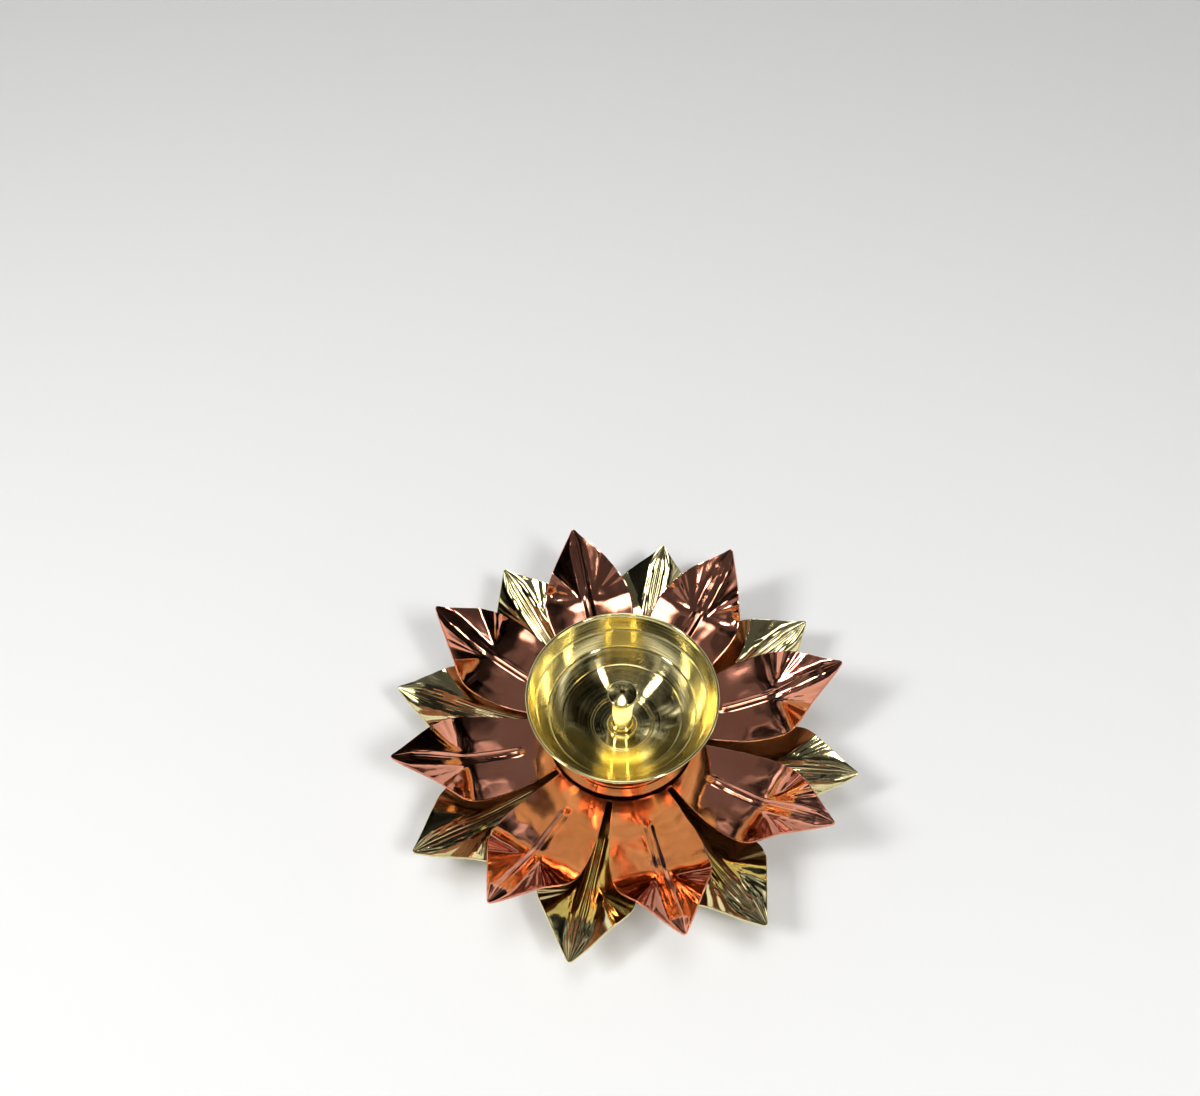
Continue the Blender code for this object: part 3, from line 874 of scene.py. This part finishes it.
def reliefAt(shape, petal, along, aside, edge):
    share = abs(aside) / max(edge, clean)
    narrow = min(1.0, max(edge, 0.05 * mm) / stamp["fadeWidth"])

    # rib
    widened = smoothStep((along - stamp["ribWidens"]) / (stamp["ribWidened"] - stamp["ribWidens"]))
    halfRib = stamp["ribNarrow"] + (stamp["ribWide"] - stamp["ribNarrow"]) * widened
    halfRib = min(shape["ribScale"] * halfRib, stamp["ribShare"] * edge + 0.1 * mm)
    across = abs(aside) / halfRib
    nose = smoothStep((along - stamp["ribStart"]) / stamp["ribNose"])
    top = stamp["ribHeight"] + (stamp["ribOuterHeight"] - stamp["ribHeight"]) * widened
    flank = (across - stamp["ribFlat"]) / (stamp["ribFoot"] - stamp["ribFlat"])
    rib = top * nose * (1.0 - smoothStep(flank))
    lines = math.cos(math.tau * aside / (stamp["ribLines"] * halfRib))
    lines *= stamp["ribLineDepth"] * shape["fluting"] * math.exp(-(across ** 4))
    rib = narrow * (rib + nose * lines)

    # cheeks
    dish = math.exp(-(((along - stamp["cheekCentre"]) / stamp["cheekLength"]) ** 2))
    dish *= stamp["cheekDepth"] * math.sin(math.pi * share) ** 2

    # fold and trough: the sheet is the lower of the two, and a crease parts them from the knee on
    side = 1.0 if aside > 0.0 else -1.0
    own = roll(shape, petal, 3.0 + side)
    start = stamp["foldStart"] + stamp["foldLag"] * share + stamp["foldStray"] * own
    bend = stamp["foldRound"] + stamp["foldSoftening"] * share
    slope = stamp["foldSlope"] * (1.0 + stamp["foldUneven"] * own)
    fold = slope * softRamp(along - start, bend)
    trough = softRamp(abs(aside) - shape["ribScale"] * stamp["troughAt"], stamp["troughRound"])
    trough *= stamp["troughSlope"] * (1.0 - stamp["troughUneven"] * own)
    pocket = (fold ** -4 + trough ** -4) ** -0.25
    curled = smoothStep((along - stamp["root"]) / stamp["curlLength"])
    curl = stamp["edgeCurl"] * curled * share ** 4 * edge / stamp["halfWidth"]

    # flutes, at a constant share of the width
    gathered = smoothStep((along - stamp["fluteStart"]) / stamp["fluteGrowth"])
    signed = aside / max(edge, clean)
    gathered *= math.exp(-((share / stamp["fluteReach"]) ** 4))
    spot = Vector((along / stamp["fluteStray"], signed * 1.7, petal * 3.3 + shape["seed"]))
    stray = noise.noise(spot)
    turns = math.tau * signed / stamp["fluteSpacing"] + stamp["fluteWander"] * stray
    phase = 2.0 * roll(shape, petal, 1.0)
    uneven = 0.8 + 0.9 * noise.noise(Vector((signed * 3.1, petal * 4.3, shape["seed"])))
    wave = math.cos(turns + phase) + 0.25 * math.cos(2.0 * turns + phase)
    flute = shape["fluting"] * stamp["fluteDepth"] * edge * gathered * uneven * wave

    # creases that fan out from the knee
    out = along - start
    away = abs(aside) - stamp["troughAt"]
    swing = math.degrees(math.atan2(away, out))
    inFan = smoothStep((swing - stamp["fanFrom"]) / stamp["fanFade"])
    inFan *= smoothStep((stamp["fanTo"] - swing) / stamp["fanFade"])
    inFan *= smoothStep(math.hypot(out, away) / stamp["fanInner"])
    inFan *= min(1.0, edge / stamp["fanNarrow"])
    stray = noise.noise(Vector((swing / 31.0, 5.0 * side, petal * 3.7 + shape["seed"])))
    turns = math.tau * swing / stamp["fanSpacing"] + stamp["fanWander"] * math.tau * stray
    fan = stamp["fanDepth"] * math.hypot(out, away) * inFan * math.cos(turns + 3.0 * own)

    # hand work: broad dents, small crumples and a dimple by the shoulder
    spot = Vector((along, aside, 0.0))
    loose = smoothStep((along - stamp["root"]) / stamp["looseLength"])
    loose *= min(1.0, 0.25 + edge / stamp["looseWidth"])
    shift = Vector((0.0, 0.0, shape["seed"] + 1.9 * petal))
    dent = stamp["dents"] * noise.noise(spot / stamp["dentSize"] + shift)
    dent += stamp["crumples"] * noise.noise(spot / stamp["crumpleSize"] + shift)
    dented = max(0.0, roll(shape, petal, 6.0 + side))
    gap = math.hypot(along - stamp["dimpleAt"], aside - side * stamp["dimpleAside"] * edge)
    dimple = dented * stamp["dimple"] * math.exp(-((gap / stamp["dimpleSize"]) ** 2))
    return rib - dish + pocket + curl + flute + fan + loose * dent - dimple


def rowPlaces(shape):
    places = [stamp["root"]]
    for end, count in stamp["rowRuns"]:
        start = places[-1]
        stop = end if end > 0.0 else shape["reach"] + end
        places += [start + (stop - start) * (step + 1) / count for step in range(count)]
    return places


def makeFlower(shape, materials):
    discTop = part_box(shape["node"])[0].z + sheetThick
    stride = stamp["columns"] + 1
    columns = stamp["petals"] * stride
    rootRow = stamp["discRings"]
    places = rowPlaces(shape)
    rows = rootRow + len(places) - 1
    grid = bmesh.new()
    bmesh.ops.create_grid(grid, x_segments=columns, y_segments=rows, size=0.5)
    grain = grid.verts.layers.float_vector.new("petalGrain")
    slots = []
    for face in grid.faces:
        middle = face.calc_center_median()
        column = int((middle.x + 0.5) * columns)
        if int((middle.y + 0.5) * rows) >= rootRow and column % stride == stamp["columns"]:
            slots.append(face)
    bmesh.ops.delete(grid, geom=slots, context="FACES")

    alongTable, radiusTable, heightTable = spineOf(shape, discTop)
    sector = math.tau / stamp["petals"]
    rootEdge = halfWidth(shape, stamp["root"])
    for vert in grid.verts:
        column = round((vert.co.x + 0.5) * columns)
        row = round((vert.co.y + 0.5) * rows)
        petal, place = divmod(column, stride)
        across = 2.0 * place / stamp["columns"] - 1.0
        across = math.copysign(abs(across) ** stamp["columnBias"], across)
        if row <= rootRow:
            swing = math.asin(across * rootEdge / stamp["root"])
            ring = stamp["hole"] + (stamp["root"] - stamp["hole"]) * row / rootRow
            forward, aside, height = ring * math.cos(swing), ring * math.sin(swing), discTop
            along = forward
        else:
            along = places[row - rootRow]
            share = (along - stamp["root"]) / (shape["reach"] - stamp["root"])
            edge = halfWidth(shape, along)
            aside = across * edge
            sag = stamp["root"] - math.sqrt(stamp["root"] ** 2 - (across * rootEdge) ** 2)
            forward = float(np.interp(along, alongTable, radiusTable))
            forward -= sag * max(0.0, 1.0 - 3.0 * share)
            height = float(np.interp(along, alongTable, heightTable))
            height += reliefAt(shape, petal % stamp["petals"], along, aside, edge)
        vert[grain] = (along, aside, float(petal % stamp["petals"]))
        angle = math.pi / 2.0 + math.radians(shape["turn"]) + petal * sector
        vert.co.x = forward * math.cos(angle) - aside * math.sin(angle)
        vert.co.y = forward * math.sin(angle) + aside * math.cos(angle)
        vert.co.z = height
    bmesh.ops.remove_doubles(grid, verts=grid.verts, dist=clean)
    bmesh.ops.recalc_face_normals(grid, faces=grid.faces)
    inmost = min(grid.faces, key=lambda face: face.calc_center_median().length)
    if inmost.normal.z < 0.0:
        bmesh.ops.reverse_faces(grid, faces=grid.faces)

    flower = meshPiece(shape["name"], grid, materials)
    thick = flower.modifiers.new("sheet", "SOLIDIFY")
    thick.thickness = sheetThick
    thick.offset = -1.0
    # the cut edges take the second material and the underside the third
    thick.material_offset_rim = 1
    thick.material_offset = 2
    softened = flower.modifiers.new("edges", "BEVEL")
    softened.width = stamp["edgeRound"]
    softened.segments = 2
    softened.limit_method = "ANGLE"
    softened.angle_limit = math.radians(50.0)
    softened.use_clamp_overlap = True
    applyModifiers(flower)
    flower.data.shade_smooth()
    flower.data.set_sharp_from_angle(angle=math.radians(60.0))
    return settle(flower, shape["body"], shape["slot"], shape["node"])


# Studio

studio = dict(
    floorSize=6.0,
    floorColour=(0.90, 0.90, 0.89),
    # a pale round wall closes the floor; it glows with painted light, brighter at its top
    wallRadius=2.6,
    wallHeight=0.95,
    wallSteps=96,
    wallGlowFoot=0.22,
    wallGlowTop=0.64,
    # light levels of the room above it, before and behind the lamp
    front=0.08,
    back=0.17,
    turnsBack=(-0.10, 0.20),
    # clutter in the room: noise levels and their shares of that light
    clutter=3.2,
    tones=((0.45, 0.08), (0.465, 0.6), (0.54, 1.0), (0.56, 2.0), (0.61, 2.4), (0.63, 4.5)),
    # it stands on the ground, and is higher left, right and behind
    clutterTop=(0.48, 0.56),
    sideRise=0.25,
    backRise=0.27,
    backRiseOver=(0.0, 0.7),
    plain=0.53,           # noise level of the even part above it
    # small dark and bright bands in the clutter behind the lamp
    bandScale=(9.0, 9.0, 9.0),
    bandOver=(0.05, 0.40),
    bandDarkBelow=(0.46, 0.50),
    bandDark=0.15,
    bandBrightAbove=(0.57, 0.59),
    bandBright=1.3,
    # blots all over the room
    blotScale=(4.5, 4.5, 4.5),
    blotAbove=(0.60, 0.63),
    blotShare=0.4,
    # dark places: direction, inner and outer angle
    darkPlaces=(((0.62, 0.12, 0.77), 23.0, 33.0), ((-0.48, 0.20, 0.85), 9.0, 14.0)),
    darkShare=0.12,
    # a soft light overhead, and its inner and outer angle
    glow=(-0.03, 0.04, 1.0),
    glowAngles=(6.0, 12.5),
    glowLight=6.0,
)
softboxes = [
    # name, direction, distance, width, length, turn, power, whether the metal mirrors it
    ("rightPanel", (0.39, -0.44, 0.81), 0.90, 0.08, 0.22, 41.0, 1.3, True),
    ("leftPanel", (-0.58, -0.24, 0.78), 0.90, 0.09, 0.28, -67.0, 1.8, True),
    ("rightFill", (0.39, -0.44, 0.81), 1.10, 0.30, 0.30, 0.0, 3.1, False),
    ("leftFill", (-0.58, -0.24, 0.78), 1.10, 0.30, 0.30, 0.0, 3.1, False),
]


def nearness(nodes, links, place, direction, near, far):
    # 1 within so many degrees of a direction, 0 beyond so many
    towards = nodes.new("ShaderNodeVectorMath")
    towards.operation = "DOT_PRODUCT"
    towards.inputs[1].default_value = Vector(direction).normalized()
    links.new(place, towards.inputs[0])
    inner, outer = math.cos(math.radians(near)), math.cos(math.radians(far))
    return fadeBetween(nodes, links, towards.outputs["Value"], outer, inner)


def matteShader(shader):
    shader.inputs["Base Color"].default_value = (*studio["floorColour"], 1.0)
    shader.inputs["Roughness"].default_value = 0.75
    shader.inputs["Specular IOR Level"].default_value = 0.2


def makeFloor():
    bpy.ops.mesh.primitive_plane_add(size=studio["floorSize"])
    floor = bpy.context.object
    floor.name = "floor"
    material, nodes, links, shader = startMaterial("floor")
    matteShader(shader)
    floor.data.materials.append(material)


def makeWall():
    radius, height, steps = studio["wallRadius"], studio["wallHeight"], studio["wallSteps"]
    points = []
    for level in (0.0, height):
        for step in range(steps):
            angle = math.tau * step / steps
            points.append((radius * math.cos(angle), radius * math.sin(angle), level))
    faces = [(i, (i + 1) % steps, steps + (i + 1) % steps, steps + i) for i in range(steps)]
    mesh = bpy.data.meshes.new("wall")
    mesh.from_pydata(points, [], faces)
    mesh.shade_smooth()
    wall = bpy.data.objects.new("wall", mesh)
    bpy.context.scene.collection.objects.link(wall)
    material, nodes, links, shader = startMaterial("wall")
    matteShader(shader)
    # the wall glows: painted light, rising from its foot to its top
    shader.inputs["Emission Color"].default_value = (1.0, 1.0, 1.0, 1.0)
    split = nodes.new("ShaderNodeSeparateXYZ")
    links.new(nodes.new("ShaderNodeNewGeometry").outputs["Position"], split.inputs["Vector"])
    levels = (studio["wallGlowFoot"], studio["wallGlowTop"])
    light = fadeBetween(nodes, links, split.outputs["Z"], 0.0, height, *levels)
    links.new(light, shader.inputs["Emission Strength"])
    mesh.materials.append(material)


def makeClutter(nodes, links, place, x, y, z):
    # the shares of the room's light, and where they vary
    cloud = addNode(nodes, "ShaderNodeTexNoise", Scale=studio["clutter"], Detail=2.0)
    links.new(place, cloud.inputs["Vector"])
    sideways = calculate(nodes, links, "ABSOLUTE", x)
    sideways = calculate(nodes, links, "MULTIPLY", sideways, studio["sideRise"])
    lifted = calculate(nodes, links, "SUBTRACT", z, sideways)
    behind = fadeBetween(nodes, links, y, *studio["backRiseOver"], 0.0, studio["backRise"])
    lifted = calculate(nodes, links, "SUBTRACT", lifted, behind)
    even = fadeBetween(nodes, links, lifted, *studio["clutterTop"])
    middle = calculate(nodes, links, "MULTIPLY", even, studio["plain"])
    uneven = calculate(nodes, links, "SUBTRACT", 1.0, even)
    level = calculate(nodes, links, "MULTIPLY", cloud.outputs["Fac"], uneven)
    level = calculate(nodes, links, "ADD", level, middle)
    ramp = nodes.new("ShaderNodeValToRGB")
    stops = ramp.color_ramp.elements
    for position, tone in studio["tones"][1:-1]:
        stops.new(position)
    for stop, (position, tone) in zip(stops, studio["tones"]):
        stop.position = position
        stop.color = (tone, tone, tone, 1.0)
    links.new(level, ramp.inputs["Fac"])
    return ramp.outputs["Color"], uneven


def makeBands(nodes, links, place, y, uneven):
    bands = stretchedNoise(nodes, links, place, studio["bandScale"], detail=1.0, shift=3.0)
    above, below = studio["bandBrightAbove"], studio["bandDarkBelow"]
    bright = fadeBetween(nodes, links, bands, *above, 0.0, studio["bandBright"])
    bands = fadeBetween(nodes, links, bands, *below, studio["bandDark"], 1.0)
    bands = calculate(nodes, links, "ADD", bands, bright)
    bands = calculate(nodes, links, "SUBTRACT", bands, 1.0)
    farSide = fadeBetween(nodes, links, y, *studio["bandOver"])
    farSide = calculate(nodes, links, "MULTIPLY", farSide, uneven)
    bands = calculate(nodes, links, "MULTIPLY", bands, farSide)
    return calculate(nodes, links, "ADD", bands, 1.0)


def makeWorld():
    # a dim room whose dark and pale patches the metal mirrors
    world = bpy.data.worlds.new("studio")
    bpy.context.scene.world = world
    world.use_nodes = True
    nodes, links = world.node_tree.nodes, world.node_tree.links
    place = nodes.new("ShaderNodeTexCoord").outputs["Generated"]
    split = nodes.new("ShaderNodeSeparateXYZ")
    links.new(place, split.inputs["Vector"])
    x, y, z = (split.outputs[k] for k in "XYZ")

    room = fadeBetween(nodes, links, y, *studio["turnsBack"], studio["front"], studio["back"])
    clutter, uneven = makeClutter(nodes, links, place, x, y, z)
    room = calculate(nodes, links, "MULTIPLY", room, clutter)
    bands = makeBands(nodes, links, place, y, uneven)
    room = calculate(nodes, links, "MULTIPLY", room, bands)
    for direction, inner, outer in studio["darkPlaces"]:
        dark = nearness(nodes, links, place, direction, inner, outer)
        dark = fadeBetween(nodes, links, dark, 0.0, 1.0, 1.0, studio["darkShare"])
        room = calculate(nodes, links, "MULTIPLY", room, dark)
    blots = stretchedNoise(nodes, links, place, studio["blotScale"], detail=1.0, shift=7.0)
    blots = fadeBetween(nodes, links, blots, *studio["blotAbove"], 1.0, studio["blotShare"])
    room = calculate(nodes, links, "MULTIPLY", room, blots)
    glow = nearness(nodes, links, place, studio["glow"], *studio["glowAngles"])
    glow = calculate(nodes, links, "MULTIPLY", glow, studio["glowLight"])
    room = calculate(nodes, links, "MAXIMUM", room, glow)
    links.new(room, nodes["Background"].inputs["Strength"])
    nodes["Background"].inputs["Color"].default_value = (1.0, 1.0, 1.0, 1.0)


def makeLamps():
    for name, direction, distance, width, length, turn, power, mirrored in softboxes:
        data = bpy.data.lights.new(name, "AREA")
        data.shape = "RECTANGLE"
        data.size = width
        data.size_y = length
        data.energy = power
        lamp = bpy.data.objects.new(name, data)
        bpy.context.scene.collection.objects.link(lamp)
        lamp.visible_glossy = mirrored
        outward = Vector(direction).normalized()
        across = Vector((0.0, 1.0, 0.0)).cross(outward).normalized()
        facing = Matrix((across, outward.cross(across), outward)).transposed()
        spun = facing @ Matrix.Rotation(math.radians(turn), 3, "Z")
        placed = outward * distance + Vector((0.0, 0.0, 0.03))
        lamp.matrix_world = Matrix.Translation(placed) @ spun.to_4x4()


makeCamera()
print("camera placed")
makeFloor()
makeWall()
makeWorld()
makeLamps()
bpy.context.scene.view_settings.view_transform = "Standard"
print("studio lit")

yellowBrass = turnedMetal("yellowBrass", yellowBrassLook)
makeBowl(yellowBrass)
makePost(yellowBrass)
makeCollar(yellowBrass)
makeSpacer(yellowBrass)
makeFoot(yellowBrass)
makeSaucer(turnedMetal("turnedCopper", copperTurnedLook))
zinc = turnedMetal("zincSteel", zincLook)
makeWasher(zinc)
makeNut(zinc)
print("turned pieces made")

makeFlower(
    copperShape,
    [
        polishedSheet("copperSheet", copperLook),
        cutEdge("copperEdge", copperLook),
        # the underside's darker colour is painted shade
        polishedSheet("copperPaintedShadeUnderside", copperUnderShadeLook),
    ],
)
makeFlower(
    brassShape,
    [
        polishedSheet("paleBrassSheet", paleBrassLook),
        cutEdge("brassEdge", paleBrassLook),
        # the underside's darker colour is painted shade
        polishedSheet("brassPaintedShadeUnderside", brassUnderShadeLook),
    ],
)
print("flowers made")
